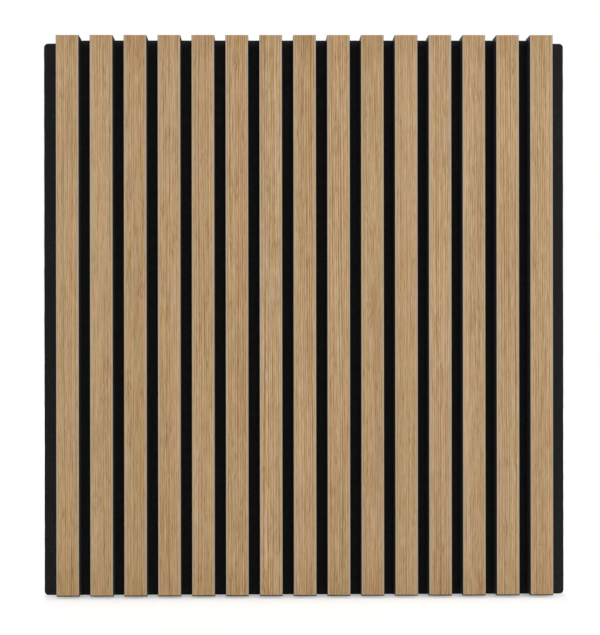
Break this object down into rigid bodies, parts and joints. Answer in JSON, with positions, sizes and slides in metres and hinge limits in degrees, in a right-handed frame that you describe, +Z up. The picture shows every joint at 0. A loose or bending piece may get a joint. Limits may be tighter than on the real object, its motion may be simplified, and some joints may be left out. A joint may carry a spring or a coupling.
{
  "type": "slatted acoustic wall panel",
  "caption": "Rectangular sound-absorbing wall panel: upright oak-faced slats on black cores stand in an even row on black fleece and a wider black felt board.",
  "frame": {"origin": "centre of the felt board's back face, where the panel lies against the wall", "axes": "+Z up along the slats, +Y out of the back into the wall, +X to the right of someone facing the slats"},
  "size_m": [0.623, 0.0214, 0.6656],
  "materials": {
    "oak_veneer": "matt natural oak veneer with straight grain along the slat",
    "black_board": "black fibreboard, sawn and uncoated",
    "black_felt": "dense black needle felt",
    "black_fleece": "thin black non-woven fleece"
  },
  "bodies": {
    "root": {"felt_backing": "black_felt", "backing_fleece": "black_fleece", "slat_core_01": "black_board", "slat_veneer_01": "oak_veneer", "slat_core_02": "black_board", "slat_veneer_02": "oak_veneer", "slat_core_03": "black_board", "slat_veneer_03": "oak_veneer", "slat_core_04": "black_board", "slat_veneer_04": "oak_veneer", "slat_core_05": "black_board", "slat_veneer_05": "oak_veneer", "slat_core_06": "black_board", "slat_veneer_06": "oak_veneer", "slat_core_07": "black_board", "slat_veneer_07": "oak_veneer", "slat_core_08": "black_board", "slat_veneer_08": "oak_veneer", "slat_core_09": "black_board", "slat_veneer_09": "oak_veneer", "slat_core_10": "black_board", "slat_veneer_10": "oak_veneer", "slat_core_11": "black_board", "slat_veneer_11": "oak_veneer", "slat_core_12": "black_board", "slat_veneer_12": "oak_veneer", "slat_core_13": "black_board", "slat_veneer_13": "oak_veneer", "slat_core_14": "black_board", "slat_veneer_14": "oak_veneer", "slat_core_15": "black_board", "slat_veneer_15": "oak_veneer"}
  },
  "joints": []
}
